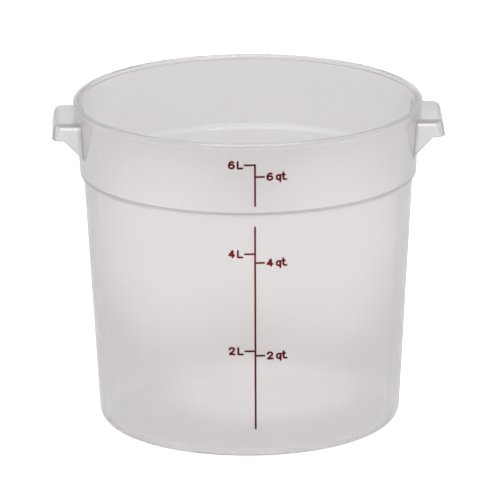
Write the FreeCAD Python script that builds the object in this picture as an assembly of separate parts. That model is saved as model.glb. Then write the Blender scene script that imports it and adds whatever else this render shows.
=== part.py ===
"""Round food container in translucent polypropylene, with two moulded grip lugs and a printed volume scale.

The container is one injection moulding: foot, tapered wall, shoulder, collar, rim bead and lugs.
The scale is ink printed on its front, so each printed stroke is a thin solid that lies on the wall.
Millimetres. The axis is Z, the origin is at the centre of the foot on the bench, the lugs are on X,
and the scale faces -Y.
"""

import FreeCAD
import Part

import math
import os

Vector = FreeCAD.Vector
ORIGIN = Vector(0, 0, 0)
UP = Vector(0, 0, 1)

# Overall size
height = 210.0
rim_radius = 111.0

# Moulded thickness
wall = 2.2
floor = 2.0

# Rim bead
rim_height = 3.4
rim_proud = 1.5
rim_edge_radius = 1.2
rim_under_radius = 0.6
mouth_edge_radius = 1.3

# Collar, from under the rim down to the shoulder: a taper is what the radius loses on the way down
collar_height = 46.9
collar_taper = 2.44

# Shoulder, where the collar steps in to the lower wall: inside, the step lies higher than outside
shoulder_height = 2.6
shoulder_step = 2.4
shoulder_edge_radius = 0.8
shoulder_inner_lift = 1.5

# Lower wall and foot
wall_taper = 9.16
base_edge_radius = 8.5
foot_width = 4.0
foot_recess = 0.6

# Grip lugs: hoods that are open below, with a sloping gusset at each end
lug_reach = 13.5
lug_width = 56.0
lug_drop = 9.25
lug_wall = 2.4
lug_lean = 1.5
lug_corner_radius = 6.5
lug_edge_radius = 4.6
lug_root_radius = 0.8
lip_height = 10.7
lip_edge_radius = 0.7
gusset_shelf = 7.8
gusset_bend_radius = 1.5
gusset_angle = 45.0

# Printed scale: a tick's place is how far its middle lies under the shoulder's foot or the rim's top,
# and the print is turned by some degrees from midway between the lugs
ink = 0.1
stroke = 1.15
tick_end_radius = 0.45
scale_turn = 1.0
litre_2_below_shoulder = 88.2
litre_4_below_shoulder = 23.7
litre_6_below_rim = 13.95
litre_tick_length = 6.3
quart_2_below_shoulder = 91.3
quart_4_below_shoulder = 29.6
quart_6_below_rim = 21.75
quart_tick_length = 5.6
line_clear_above = 5.7
line_clear_below = 5.6
line_foot_height = 20.1

# How far a cutting tool overruns what it cuts
overrun = 2.0

# Heights and radii that follow from these
shoulder_top = height - collar_height
shoulder_foot = shoulder_top - shoulder_height
rim_foot = height - rim_height
collar_top_radius = rim_radius - rim_proud
collar_foot_radius = collar_top_radius - collar_taper
waist_radius = collar_foot_radius - shoulder_step
base_radius = waist_radius - wall_taper
floor_top = foot_recess + floor
lug_out = rim_radius + lug_reach
lug_top = height - lug_drop
lip_foot = lug_top - lip_height
shelf_end = lug_out - gusset_shelf


def lower_radius(z):
    """Outer radius of the lower wall's line at a height."""
    return base_radius + wall_taper * z / shoulder_foot


def collar_radius(z):
    """Outer radius of the collar's line at a height."""
    return collar_foot_radius + collar_taper * (z - shoulder_top) / (rim_foot - shoulder_top)


def wall_radius(z):
    """Outer radius of the wall that a mark at this height is printed on."""
    if z < shoulder_foot:
        return lower_radius(z)
    return collar_radius(z)


def rounded_outline(corners):
    """Closed wire through corners given as (point, rounding radius), with tangent arcs where rounded."""
    arcs = []
    for index, (corner, radius) in enumerate(corners):
        if radius == 0:
            arcs.append((corner, corner, corner))
            continue
        back = (corners[index - 1][0] - corner).normalize()
        ahead = (corners[(index + 1) % len(corners)][0] - corner).normalize()
        half_angle = back.getAngle(ahead) / 2
        reach = radius / math.tan(half_angle)
        to_arc = radius / math.sin(half_angle) - radius
        middle = corner + (back + ahead).normalize() * to_arc
        arcs.append((corner + back * reach, middle, corner + ahead * reach))
    edges = []
    for index, (start, middle, end) in enumerate(arcs):
        if start != end:
            edges.append(Part.Arc(start, middle, end).toShape())
        next_start = arcs[(index + 1) % len(arcs)][0]
        edges.append(Part.LineSegment(end, next_start).toShape())
    return Part.Wire(edges)


def turned(corners):
    """Solid turned about Z from corners given as (radius, height, rounding radius)."""
    outline = rounded_outline([(Vector(0, r, z), rounding) for r, z, rounding in corners])
    return Part.Face(outline).revolve(ORIGIN, UP, 360)


def prism(corners, along):
    """Solid drawn out along a vector from corners given as (point, rounding radius)."""
    return Part.Face(rounded_outline(corners)).extrude(along)


def outer_corners(inset=0.0):
    """Corners of the outside from the bench to the rim's foot, moved in towards the axis by inset."""
    return [
        (base_radius - inset, 0, base_edge_radius),
        (waist_radius - inset, shoulder_foot, shoulder_edge_radius),
        (collar_foot_radius - inset, shoulder_top, shoulder_edge_radius),
        (collar_top_radius - inset, rim_foot, 0),
    ]


def make_tub():
    """Foot, wall, shoulder, collar and rim bead, with the inside parallel to the outside."""
    foot_inner_radius = base_radius - base_edge_radius - foot_width
    ledge_top = shoulder_top + shoulder_inner_lift
    ledge_foot = shoulder_foot + shoulder_inner_lift
    underside = [
        (0, foot_recess, 0),
        (foot_inner_radius - foot_recess, foot_recess, 0),
        (foot_inner_radius, 0, 0),
    ]
    rim = [
        (rim_radius, rim_foot, rim_under_radius),
        (rim_radius, height, rim_edge_radius),
        (collar_radius(height) - wall, height, mouth_edge_radius),
    ]
    inside = [
        (collar_radius(ledge_top) - wall, ledge_top, shoulder_edge_radius),
        (lower_radius(ledge_foot) - wall, ledge_foot, shoulder_edge_radius),
        (lower_radius(floor_top) - wall, floor_top, base_edge_radius - wall),
        (0, floor_top, 0),
    ]
    return turned(underside + outer_corners() + rim + inside)


def lug_spread(z):
    """How far the lug's draft has opened its lip and ends at a height, counted from the foot of the lip."""
    return lug_lean * (lip_foot - z) / lip_height


def lug_block(inset, underside):
    """Right lug as a block from the axis out, moved in by inset, over underside corners (x, z, rounding)."""
    top = lug_top - inset
    foot = underside[-1][1]
    side = [(0, top, 0), (lug_out + lug_spread(top) - inset, top, 0)] + underside
    depth = lug_width + overrun
    side_prism = prism([(Vector(x, -depth, z), rounding) for x, z, rounding in side], Vector(0, 2 * depth, 0))
    half_top = lug_width / 2 + lug_spread(top) - inset
    half_foot = lug_width / 2 + lug_spread(foot) - inset
    ends = [(-half_top, top), (half_top, top), (half_foot, foot), (-half_foot, foot)]
    reach = lug_out + lug_spread(foot) + overrun
    end_prism = prism([(Vector(0, y, z), 0) for y, z in ends], Vector(reach, 0, 0))
    block = side_prism.common(end_prism)
    steep = [edge for edge in block.Edges if edge.BoundBox.ZLength > edge.BoundBox.XLength]
    corners = [edge for edge in steep if edge.BoundBox.XMin > shelf_end]
    return block.makeFillet(lug_corner_radius - inset, corners)


def round_top(block):
    """The lug's block with its top edges rounded, but for the edge on the axis."""
    lip_middle = lip_foot + lip_height / 2
    high = [edge for edge in block.Edges if edge.BoundBox.ZMin > lip_middle]
    return block.makeFillet(lug_edge_radius, [edge for edge in high if edge.BoundBox.XMax > shelf_end])


def round_underside(hood):
    """The hollow lug with the edges of its lip and gussets rounded, but for those across a gusset."""
    shelf_middle = lug_out - gusset_shelf / 2
    low = [edge for edge in hood.Edges if edge.BoundBox.ZMax < lip_foot + lip_edge_radius]
    along = [edge for edge in low if edge.BoundBox.XLength > edge.BoundBox.YLength / 2]
    on_lip = [edge for edge in low if edge.BoundBox.XMin > shelf_middle]
    return hood.makeFillet(lip_edge_radius, along + on_lip)


def make_lug():
    """Right grip lug, with its root buried in half of the wall's thickness."""
    gusset_foot = lip_foot - shelf_end * math.tan(math.radians(gusset_angle))
    underside = [(lug_out, lip_foot, 0), (shelf_end, lip_foot, gusset_bend_radius), (0, gusset_foot, 0)]
    below = gusset_foot - overrun
    open_underside = [(lug_out + lug_spread(below) - lug_wall, below, 0), (0, below, 0)]
    hood = round_top(lug_block(0, underside)).cut(lug_block(lug_wall, open_underside))
    core = turned([(0, 0, 0)] + outer_corners(wall / 2) + [(0, rim_foot, 0)])
    return round_underside(hood).cut(core)


def round_roots(body):
    """The moulding with a fillet wherever a lug meets the outside of the collar."""
    on_collar = Part.Vertex(0, -collar_radius(lug_top), lug_top)
    collar = min(body.Faces, key=lambda face: face.distToShape(on_collar)[0])
    collar_foot = shoulder_top + shoulder_edge_radius
    above_foot = [edge for edge in collar.Edges if edge.BoundBox.ZMin > collar_foot]
    roots = [edge for edge in above_foot if edge.BoundBox.ZMax < lug_top + lug_drop / 2]
    return body.makeFillet(lug_root_radius, roots)


def make_container():
    """The whole moulding: the tub with its two lugs."""
    lug = make_lug()
    opposite_lug = lug.copy()
    opposite_lug.rotate(ORIGIN, UP, 180)
    body = make_tub().fuse([lug, opposite_lug]).removeSplitter()
    return round_roots(body)


def printed(left, right, foot, top, left_rounding=0.0, right_rounding=0.0):
    """Ink on the front of the wall, between places across X and heights, with its ends rounded if asked."""
    inner_foot = Vector(wall_radius(foot), 0, foot)
    inner_top = Vector(wall_radius(top), 0, top)
    out = Vector(ink, 0, 0)
    strip = Part.makePolygon([inner_foot, inner_foot + out, inner_top + out, inner_top, inner_foot])
    film = Part.Face(strip).revolve(ORIGIN, UP, -180)
    depth = rim_radius + overrun
    corners = [
        (Vector(left, -depth, foot), left_rounding),
        (Vector(right, -depth, foot), right_rounding),
        (Vector(right, -depth, top), right_rounding),
        (Vector(left, -depth, top), left_rounding),
    ]
    return film.common(prism(corners, Vector(0, depth, 0)))


def make_marks():
    """Printed strokes by node name: two upright lines, and a tick for each volume."""
    half = stroke / 2
    litres = {
        2: shoulder_foot - litre_2_below_shoulder,
        4: shoulder_foot - litre_4_below_shoulder,
        6: height - litre_6_below_rim,
    }
    quarts = {
        2: shoulder_foot - quart_2_below_shoulder,
        4: shoulder_foot - quart_4_below_shoulder,
        6: height - quart_6_below_rim,
    }
    marks = {
        "scale_line_upper": printed(-half, half, shoulder_top + line_clear_above, litres[6] + half),
        "scale_line_lower": printed(-half, half, line_foot_height, shoulder_foot - line_clear_below),
    }
    for volume, middle in litres.items():
        left = -half - litre_tick_length
        marks[f"litre_tick_{volume}"] = printed(left, -half, middle - half, middle + half, tick_end_radius, 0)
    for volume, middle in quarts.items():
        right = half + quart_tick_length
        marks[f"quart_tick_{volume}"] = printed(half, right, middle - half, middle + half, 0, tick_end_radius)
    for mark in marks.values():
        mark.rotate(ORIGIN, UP, scale_turn)
    return marks


def main():
    os.makedirs("parts", exist_ok=True)
    pieces = {"container_body": make_container(), **make_marks()}
    for name, shape in pieces.items():
        solid = shape.Solids[0]
        solid.exportStep(f"parts/{name}.step")
        print(name, "valid:", solid.isValid(), "cubic mm:", round(solid.Volume, 2))


main()
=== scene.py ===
"""Looks of a round food container: translucent plastic, printed ink, labels, light and camera.

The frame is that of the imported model: the axis is Z, the lugs are on X, and the scale faces -Y.
Lengths are in metres, angles in degrees and powers in watts, the camera's lens is in millimetres, and a
noise's scale is in lumps per metre.
"""

import math

import bpy
import numpy as np
from mathutils import Matrix, Vector
from mathutils.bvhtree import BVHTree


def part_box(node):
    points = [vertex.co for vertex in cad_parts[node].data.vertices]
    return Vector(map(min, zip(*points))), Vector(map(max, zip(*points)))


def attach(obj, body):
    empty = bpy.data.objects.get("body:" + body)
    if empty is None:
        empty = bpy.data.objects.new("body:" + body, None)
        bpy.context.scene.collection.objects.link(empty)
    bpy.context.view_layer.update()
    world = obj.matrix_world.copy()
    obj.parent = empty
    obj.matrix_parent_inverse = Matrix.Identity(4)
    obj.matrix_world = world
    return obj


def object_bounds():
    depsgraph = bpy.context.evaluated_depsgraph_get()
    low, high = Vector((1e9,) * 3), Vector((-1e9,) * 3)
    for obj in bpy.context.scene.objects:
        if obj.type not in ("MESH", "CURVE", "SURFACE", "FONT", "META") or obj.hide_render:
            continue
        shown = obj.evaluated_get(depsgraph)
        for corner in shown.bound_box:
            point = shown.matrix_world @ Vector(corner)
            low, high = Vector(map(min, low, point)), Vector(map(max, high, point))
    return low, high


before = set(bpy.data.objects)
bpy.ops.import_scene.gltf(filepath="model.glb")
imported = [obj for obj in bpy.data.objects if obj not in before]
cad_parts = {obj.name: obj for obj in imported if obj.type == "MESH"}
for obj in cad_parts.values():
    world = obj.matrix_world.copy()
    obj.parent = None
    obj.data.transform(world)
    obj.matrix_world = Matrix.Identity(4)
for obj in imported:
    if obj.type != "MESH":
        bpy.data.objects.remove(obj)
cad_low, cad_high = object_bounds()

# Camera: where it stands round the object, its lens, and what it points at
camera_azimuth = -1.25
camera_elevation = 16.23
camera_roll = -0.353
camera_distance = 5.0
camera_lens = 564.0
camera_sensor = 36.0
camera_far = 100.0
aim_side = 0.00086
aim_height = 0.10948

# Printed labels: thickness of the ink, height of a digit, gaps to the ticks, and cells that fill a stroke
ink_thickness = 0.0001
digit_height = 0.0053
litre_label_gap = 0.0005
quart_label_gap = 0.0010
label_cell = 0.00012

# Where a search for the wall starts, as a share of the object's reach to the front
search_share = 2.0

# Label strokes, as shares of a digit's height: a stroke's thickness, points that each stroke's middle
# runs through, where each character after the digit starts, and where a litre label ends
stroke_share = 0.23
glyph_shares = {
    "2": [
        [(0.10, 0.68), (0.17, 0.83), (0.36, 0.90), (0.57, 0.84), (0.65, 0.68)],
        [(0.65, 0.68), (0.57, 0.52), (0.36, 0.33), (0.12, 0.10)],
        [(0.12, 0.10), (0.69, 0.10)],
    ],
    "4": [
        [(0.50, 0.90), (0.10, 0.33)],
        [(0.10, 0.33), (0.70, 0.33)],
        [(0.52, 0.90), (0.52, 0.10)],
    ],
    "6": [
        [(0.62, 0.84), (0.44, 0.90), (0.24, 0.80), (0.12, 0.58), (0.10, 0.34), (0.20, 0.16), (0.39, 0.10)],
        [(0.39, 0.10), (0.60, 0.17), (0.69, 0.34), (0.60, 0.51), (0.40, 0.57), (0.20, 0.50), (0.10, 0.34)],
    ],
    "L": [
        [(0.10, 0.90), (0.10, 0.10)],
        [(0.10, 0.10), (0.64, 0.10)],
    ],
    "q": [
        [(0.54, 0.40), (0.46, 0.60), (0.30, 0.66), (0.15, 0.57), (0.10, 0.38), (0.15, 0.19), (0.30, 0.10)],
        [(0.30, 0.10), (0.46, 0.18), (0.54, 0.40)],
        [(0.54, 0.66), (0.54, -0.14)],
    ],
    "t": [
        [(0.22, 0.96), (0.22, 0.40), (0.24, 0.20), (0.34, 0.10), (0.44, 0.12)],
        [(0.10, 0.68), (0.40, 0.68)],
    ],
    ".": [
        [(0.00, 0.10), (0.02, 0.10)],
    ],
}
litre_start_shares = {"L": 1.03}
quart_start_shares = {"q": 1.09, "t": 1.76, ".": 2.33}
litre_end_share = 1.77

# Steps of a stroke's curve from one of its points to the next
curve_steps = 8

# Plastic: a cloudy tint, a fine grain in its gloss and surface, and the share of light that it lets through
cloud_scale = 22.0
cloud_detail = 3.0
wall_tints = ((0.908, 0.877, 0.877), (0.928, 0.897, 0.897))
# Paler tint of the inner floor: painted light, a glow that stands in for light passing up through the base
painted_glow_floor_tints = ((0.99, 0.96, 0.96), (1.0, 0.97, 0.97))
grain_scale = 900.0
grain_detail = 4.0
grain_depth = 0.00002
grain_strength = 0.02
plastic_roughness = (0.12, 0.16)
plastic_refraction = 1.49
clear_share = 0.75

# Painted light on the inner floor and its rounded corner: a paler tint that stands in for the glow of light
# passing up through the base.
# How high it reaches, over what height it fades into the wall, and how far a face has to lean up to be fully
# in it
painted_glow_height = 0.0120
painted_glow_fade = 0.0015
painted_glow_lean_share = 0.03

# Ink: a mottle in its tint, gloss and surface
mottle_scale = 2500.0
mottle_detail = 3.0
mottle_depth = 0.00003
mottle_strength = 0.2
ink_tints = ((0.092, 0.002, 0.002), (0.112, 0.004, 0.003))
ink_roughness = (0.5, 0.65)
ink_gloss_share = 0.05

# Studio floor, of glowing paper
floor_size = 30.0
floor_glow = 0.6
floor_glow_tint = (1, 1, 1, 1)
paper_scale = 3.0
paper_grain_scale = 40.0
paper_detail = 2.0
paper_tints = ((0.92, 0.92, 0.92), (0.94, 0.94, 0.94))
paper_roughness = (0.85, 0.95)

# Surroundings: their tint from the horizon down, the one overhead, and how far up that one is reached
low_tint = (0.835, 0.83, 0.83)
high_tint = (0.79, 0.845, 0.855)
high_share = 0.3

# Soft light overhead
top_light_size = 2.0
top_light_height = 1.8
top_light_power = 8.0

# Pool of light through the mouth, on the far part of the floor and a little to the right
mouth_light_power = 98.0
mouth_light_x = 0.010
mouth_light_y = 0.042
mouth_light_height = 1.8
mouth_light_angle = 4.7
mouth_soft_share = 0.6

# Pools of light on the front, from the left and from the right
front_light_power = 42.0
front_light_x = 0.77
front_light_y = -1.3
front_light_height = 0.30
front_aim_height = 0.124
front_light_angle = 6.5
front_soft_share = 1.0

# Radius of the lamps that make the pools
spot_radius = 0.01

# Wide light high in front, for a gleam on rounded edges
edge_light_power = 24.0
edge_light_width = 1.6
edge_light_depth = 0.7
edge_light_y = -1.25
edge_light_height = 0.95
edge_aim_height = 0.2


def new_material(name):
    """Node material with its tree, and a Principled shader joined to its output."""
    material = bpy.data.materials.new(name)
    material.use_nodes = True
    tree = material.node_tree
    return material, tree, tree.nodes["Principled BSDF"]


def noise(tree, scale, detail):
    """Noise over the object's own coordinates, as a value."""
    place = tree.nodes.new("ShaderNodeTexCoord")
    texture = tree.nodes.new("ShaderNodeTexNoise")
    texture.inputs["Scale"].default_value = scale
    texture.inputs["Detail"].default_value = detail
    tree.links.new(place.outputs["Object"], texture.inputs["Vector"])
    return texture.outputs["Fac"]


def ranged(tree, value, low, high, start=0, end=1):
    """A value that runs from start to end, changed to run from low to high."""
    stretch = tree.nodes.new("ShaderNodeMapRange")
    stretch.inputs["From Min"].default_value = start
    stretch.inputs["From Max"].default_value = end
    stretch.inputs["To Min"].default_value = low
    stretch.inputs["To Max"].default_value = high
    tree.links.new(value, stretch.inputs["Value"])
    return stretch.outputs["Result"]


def blended(tree, value, first, second):
    """A colour between two, by a value from 0 to 1."""
    mix = tree.nodes.new("ShaderNodeMix")
    mix.data_type = "RGBA"
    mix.inputs["A"].default_value = (*first, 1)
    mix.inputs["B"].default_value = (*second, 1)
    tree.links.new(value, mix.inputs["Factor"])
    return mix.outputs["Result"]


def mixed(tree, value, first, second):
    """A colour between those of two nodes, by a value from 0 to 1."""
    mix = tree.nodes.new("ShaderNodeMix")
    mix.data_type = "RGBA"
    tree.links.new(first, mix.inputs["A"])
    tree.links.new(second, mix.inputs["B"])
    tree.links.new(value, mix.inputs["Factor"])
    return mix.outputs["Result"]


def upright(tree, vector):
    """The Z part of a vector."""
    split = tree.nodes.new("ShaderNodeSeparateXYZ")
    tree.links.new(vector, split.inputs["Vector"])
    return split.outputs["Z"]


def bumped(tree, value, strength, distance):
    """A normal that follows a value as a height."""
    bump = tree.nodes.new("ShaderNodeBump")
    bump.inputs["Strength"].default_value = strength
    bump.inputs["Distance"].default_value = distance
    tree.links.new(value, bump.inputs["Height"])
    return bump.outputs["Normal"]


def painted_glow_mask(tree):
    """1 on what faces up just above the foot, which is the floor and its rounded corner, and 0 elsewhere:
    where the paler tint of painted light goes.
    """
    place = tree.nodes.new("ShaderNodeTexCoord")
    surface = tree.nodes.new("ShaderNodeNewGeometry")
    height = upright(tree, place.outputs["Object"])
    facing = upright(tree, surface.outputs["Normal"])
    both = tree.nodes.new("ShaderNodeMath")
    both.operation = "MULTIPLY"
    tree.links.new(ranged(tree, height, 1, 0, painted_glow_height - painted_glow_fade, painted_glow_height), both.inputs[0])
    tree.links.new(ranged(tree, facing, 0, 1, 0, painted_glow_lean_share), both.inputs[1])
    return both.outputs["Value"]


def polypropylene():
    """Milky translucent plastic with a satin moulded surface, with painted light: a paler tint on the floor
    and its corner for a glow through the base.
    """
    material, tree, shader = new_material("polypropylene")
    cloud = noise(tree, cloud_scale, cloud_detail)
    grain = noise(tree, grain_scale, grain_detail)
    wall_tint = blended(tree, cloud, *wall_tints)
    painted_glow_tint = blended(tree, cloud, *painted_glow_floor_tints)
    # The wall's tint, with the paler tint of painted light on the floor and its corner
    tint = mixed(tree, painted_glow_mask(tree), wall_tint, painted_glow_tint)
    tree.links.new(tint, shader.inputs["Base Color"])
    tree.links.new(ranged(tree, grain, *plastic_roughness), shader.inputs["Roughness"])
    tree.links.new(bumped(tree, grain, grain_strength, grain_depth), shader.inputs["Normal"])
    shader.inputs["IOR"].default_value = plastic_refraction
    shader.inputs["Transmission Weight"].default_value = clear_share
    return material


def scale_ink():
    """Dark maroon screen-printed ink, flat and almost without gloss."""
    material, tree, shader = new_material("scale_ink")
    mottle = noise(tree, mottle_scale, mottle_detail)
    tree.links.new(blended(tree, mottle, *ink_tints), shader.inputs["Base Color"])
    tree.links.new(ranged(tree, mottle, *ink_roughness), shader.inputs["Roughness"])
    tree.links.new(bumped(tree, mottle, mottle_strength, mottle_depth), shader.inputs["Normal"])
    shader.inputs["Specular IOR Level"].default_value = ink_gloss_share
    return material


def dress_nodes(plastic, print_ink):
    """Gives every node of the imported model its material."""
    for name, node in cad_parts.items():
        node.data.materials.clear()
        node.data.materials.append(plastic if name == "container_body" else print_ink)


def smoothed(points):
    """Points along a smooth curve through the given ones, with each one's slope from its two neighbours."""
    known = np.array(points)
    ends = [2 * known[0] - known[1], *known, 2 * known[-1] - known[-2]]
    curve = []
    for before, start, end, after in zip(ends, ends[1:], ends[2:], ends[3:]):
        bow = 2 * before - 5 * start + 4 * end - after
        twist = 3 * start - before - 3 * end + after
        for share in np.arange(curve_steps) / curve_steps:
            bend = bow * share ** 2 + twist * share ** 3
            curve.append(start + ((end - before) * share + bend) / 2)
    return curve + [known[-1]]


def label_strokes(digit, starts):
    """Middle lines of a label's strokes in metres, from the left end and the foot of its digit."""
    strokes = []
    for character, start in {digit: 0.0, **starts}.items():
        for points in glyph_shares[character]:
            strokes.append((np.array(smoothed(points)) + (start, 0)) * digit_height)
    return strokes


def distance_to(strokes, across, up):
    """Distance from each place of a grid to the nearest stroke's middle line."""
    nearest = np.full(across.shape, np.inf)
    for stroke in strokes:
        for start, end in zip(stroke, stroke[1:]):
            run = end - start
            share = ((across - start[0]) * run[0] + (up - start[1]) * run[1]) / run.dot(run)
            share = np.clip(share, 0, 1)
            gap = np.hypot(across - start[0] - share * run[0], up - start[1] - share * run[1])
            nearest = np.minimum(nearest, gap)
    return nearest


def filled_cells(strokes):
    """Flat cells that fill the inked strokes, as points and as rings of point numbers."""
    thickness = stroke_share * digit_height
    every = np.concatenate(strokes)
    low = every.min(axis=0) - thickness
    columns, rows = np.ceil((every.max(axis=0) + thickness - low) / label_cell).astype(int) + 1
    across, up = np.meshgrid(np.arange(columns), np.arange(rows), indexing="ij")
    field = distance_to(strokes, low[0] + across * label_cell, low[1] + up * label_cell) - thickness / 2
    points = []
    numbers = {}

    def number(first, second):
        """Number of the point on a grid place, or between two of them where the ink ends."""
        key = (min(first, second), max(first, second))
        if key not in numbers:
            start, end = np.array(key[0]), np.array(key[1])
            share = 0.0 if first == second else field[key[0]] / (field[key[0]] - field[key[1]])
            numbers[key] = len(points)
            points.append(low + (start + (end - start) * share) * label_cell)
        return numbers[key]

    rings = []
    for i in range(columns - 1):
        for j in range(rows - 1):
            corners = [(i, j), (i + 1, j), (i + 1, j + 1), (i, j + 1)]
            ring = []
            for here, there in zip(corners, corners[1:] + corners[:1]):
                if field[here] < 0:
                    ring.append(number(here, here))
                if (field[here] < 0) != (field[there] < 0):
                    ring.append(number(here, there))
            if ring:
                rings.append(ring)
    return points, rings


def film_faces(rings, count):
    """Faces of a closed film: the rings as its front, the same as its back, and walls along its edges."""
    edges = {(a, b) for ring in rings for a, b in zip(ring, ring[1:] + ring[:1])}
    back = [[point + count for point in reversed(ring)] for ring in rings]
    walls = [[b, a, a + count, b + count] for a, b in edges if (b, a) not in edges]
    return rings + back + walls


def wall_point(wall, across, height, lift):
    """Point lifted off the front of the wall, at a place across X and a height."""
    away = Vector((across, cad_low.y * search_share, height))
    place, normal = wall.ray_cast(away, Vector((0, 1, 0)))[:2]
    return place + normal.normalized() * lift


def make_label(name, digit, starts, left, middle, wall, print_ink):
    """Printed label that lies on the wall, from its left end and with its digit's middle at a height."""
    points, rings = filled_cells(label_strokes(digit, starts))
    foot = middle - digit_height / 2
    front = [wall_point(wall, left + x, foot + z, ink_thickness) for x, z in points]
    back = [wall_point(wall, left + x, foot + z, 0) for x, z in points]
    mesh = bpy.data.meshes.new(name)
    mesh.from_pydata(front + back, [], film_faces(rings, len(points)))
    mesh.materials.append(print_ink)
    label = bpy.data.objects.new(name, mesh)
    bpy.context.scene.collection.objects.link(label)
    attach(label, "root")


def make_labels(print_ink):
    """A number and a unit beside each tick: litres to the left of the lines, quarts to the right."""
    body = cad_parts["container_body"]
    wall = BVHTree.FromObject(body, bpy.context.evaluated_depsgraph_get())
    for digit in ("2", "4", "6"):
        low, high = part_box(f"litre_tick_{digit}")
        left = low.x - litre_label_gap - litre_end_share * digit_height
        middle = (low.z + high.z) / 2
        make_label(f"litre_label_{digit}", digit, litre_start_shares, left, middle, wall, print_ink)
        low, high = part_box(f"quart_tick_{digit}")
        left = high.x + quart_label_gap
        middle = (low.z + high.z) / 2
        make_label(f"quart_label_{digit}", digit, quart_start_shares, left, middle, wall, print_ink)


def make_floor():
    """Plain white floor, level with the foot, which only the camera sees and which stops no light."""
    half = floor_size / 2
    corners = [(-half, -half, 0), (half, -half, 0), (half, half, 0), (-half, half, 0)]
    mesh = bpy.data.meshes.new("floor")
    mesh.from_pydata(corners, [], [(0, 1, 2, 3)])
    floor = bpy.data.objects.new("floor", mesh)
    floor.visible_transmission = False
    floor.visible_glossy = False
    floor.visible_diffuse = False
    floor.visible_shadow = False
    bpy.context.scene.collection.objects.link(floor)
    material, tree, shader = new_material("floor")
    paper = blended(tree, noise(tree, paper_scale, paper_detail), *paper_tints)
    tree.links.new(paper, shader.inputs["Base Color"])
    grain = noise(tree, paper_grain_scale, paper_detail)
    tree.links.new(ranged(tree, grain, *paper_roughness), shader.inputs["Roughness"])
    shader.inputs["Emission Color"].default_value = floor_glow_tint
    shader.inputs["Emission Strength"].default_value = floor_glow
    mesh.materials.append(material)


def make_world():
    """Pale surroundings, a little cooler overhead."""
    world = bpy.data.worlds.new("studio")
    world.use_nodes = True
    tree = world.node_tree
    place = tree.nodes.new("ShaderNodeTexCoord")
    level = ranged(tree, upright(tree, place.outputs["Generated"]), 0, 1, 0, high_share)
    tree.links.new(blended(tree, level, low_tint, high_tint), tree.nodes["Background"].inputs["Color"])
    bpy.context.scene.world = world


def place_lamp(lamp, place, aim):
    """Puts a lamp somewhere, pointing at something and out of the camera's sight."""
    light = bpy.data.objects.new(lamp.name, lamp)
    light.location = place
    light.rotation_euler = (Vector(place) - Vector(aim)).to_track_quat("Z", "Y").to_euler()
    light.visible_camera = False
    bpy.context.scene.collection.objects.link(light)
    return light


def make_overhead():
    """Large soft light overhead, which isn't seen in reflections."""
    lamp = bpy.data.lights.new("overhead", "AREA")
    lamp.size = top_light_size
    lamp.energy = top_light_power
    place_lamp(lamp, (0, 0, top_light_height), (0, 0, 0)).visible_glossy = False


def make_spot(name, power, place, aim, angle, soft_share):
    """Pool of light from a lamp which isn't seen in reflections."""
    lamp = bpy.data.lights.new(name, "SPOT")
    lamp.energy = power
    lamp.spot_size = math.radians(angle)
    lamp.spot_blend = soft_share
    lamp.shadow_soft_size = spot_radius
    place_lamp(lamp, place, aim).visible_glossy = False


def make_spots():
    """A pool of light through the mouth, and two on the front."""
    place = (mouth_light_x, mouth_light_y, mouth_light_height)
    aim = (mouth_light_x, mouth_light_y, 0)
    make_spot("mouth_light", mouth_light_power, place, aim, mouth_light_angle, mouth_soft_share)
    aim = (0, 0, front_aim_height)
    for name, side in (("left", -1), ("right", 1)):
        place = (side * front_light_x, front_light_y, front_light_height)
        make_spot(f"{name}_front_light", front_light_power, place, aim, front_light_angle, front_soft_share)


def make_edge_light():
    """Wide light high in front, which is seen only in reflections."""
    lamp = bpy.data.lights.new("edge_light", "AREA")
    lamp.shape = "RECTANGLE"
    lamp.size = edge_light_width
    lamp.size_y = edge_light_depth
    lamp.energy = edge_light_power
    light = place_lamp(lamp, (0, edge_light_y, edge_light_height), (0, 0, edge_aim_height))
    light.visible_diffuse = False
    light.visible_transmission = False


def make_camera():
    """Camera at the photograph's viewing angle."""
    azimuth = math.radians(camera_azimuth)
    elevation = math.radians(camera_elevation)
    level = math.cos(elevation)
    back = Vector((math.sin(azimuth) * level, -math.cos(azimuth) * level, math.sin(elevation)))
    eye = bpy.data.cameras.new("camera")
    eye.lens = camera_lens
    eye.sensor_width = camera_sensor
    eye.clip_end = camera_far
    camera = bpy.data.objects.new("camera", eye)
    place = Vector((aim_side, 0, aim_height)) + back * camera_distance
    turn = (-back).to_track_quat("-Z", "Y").to_matrix().to_4x4()
    roll = Matrix.Rotation(math.radians(camera_roll), 4, "Z")
    camera.matrix_world = Matrix.Translation(place) @ turn @ roll
    bpy.context.scene.collection.objects.link(camera)
    bpy.context.scene.camera = camera


plastic = polypropylene()
print_ink = scale_ink()
dress_nodes(plastic, print_ink)
make_labels(print_ink)
make_floor()
make_world()
make_overhead()
make_spots()
make_edge_light()
make_camera()
bpy.context.scene.view_settings.view_transform = "Standard"
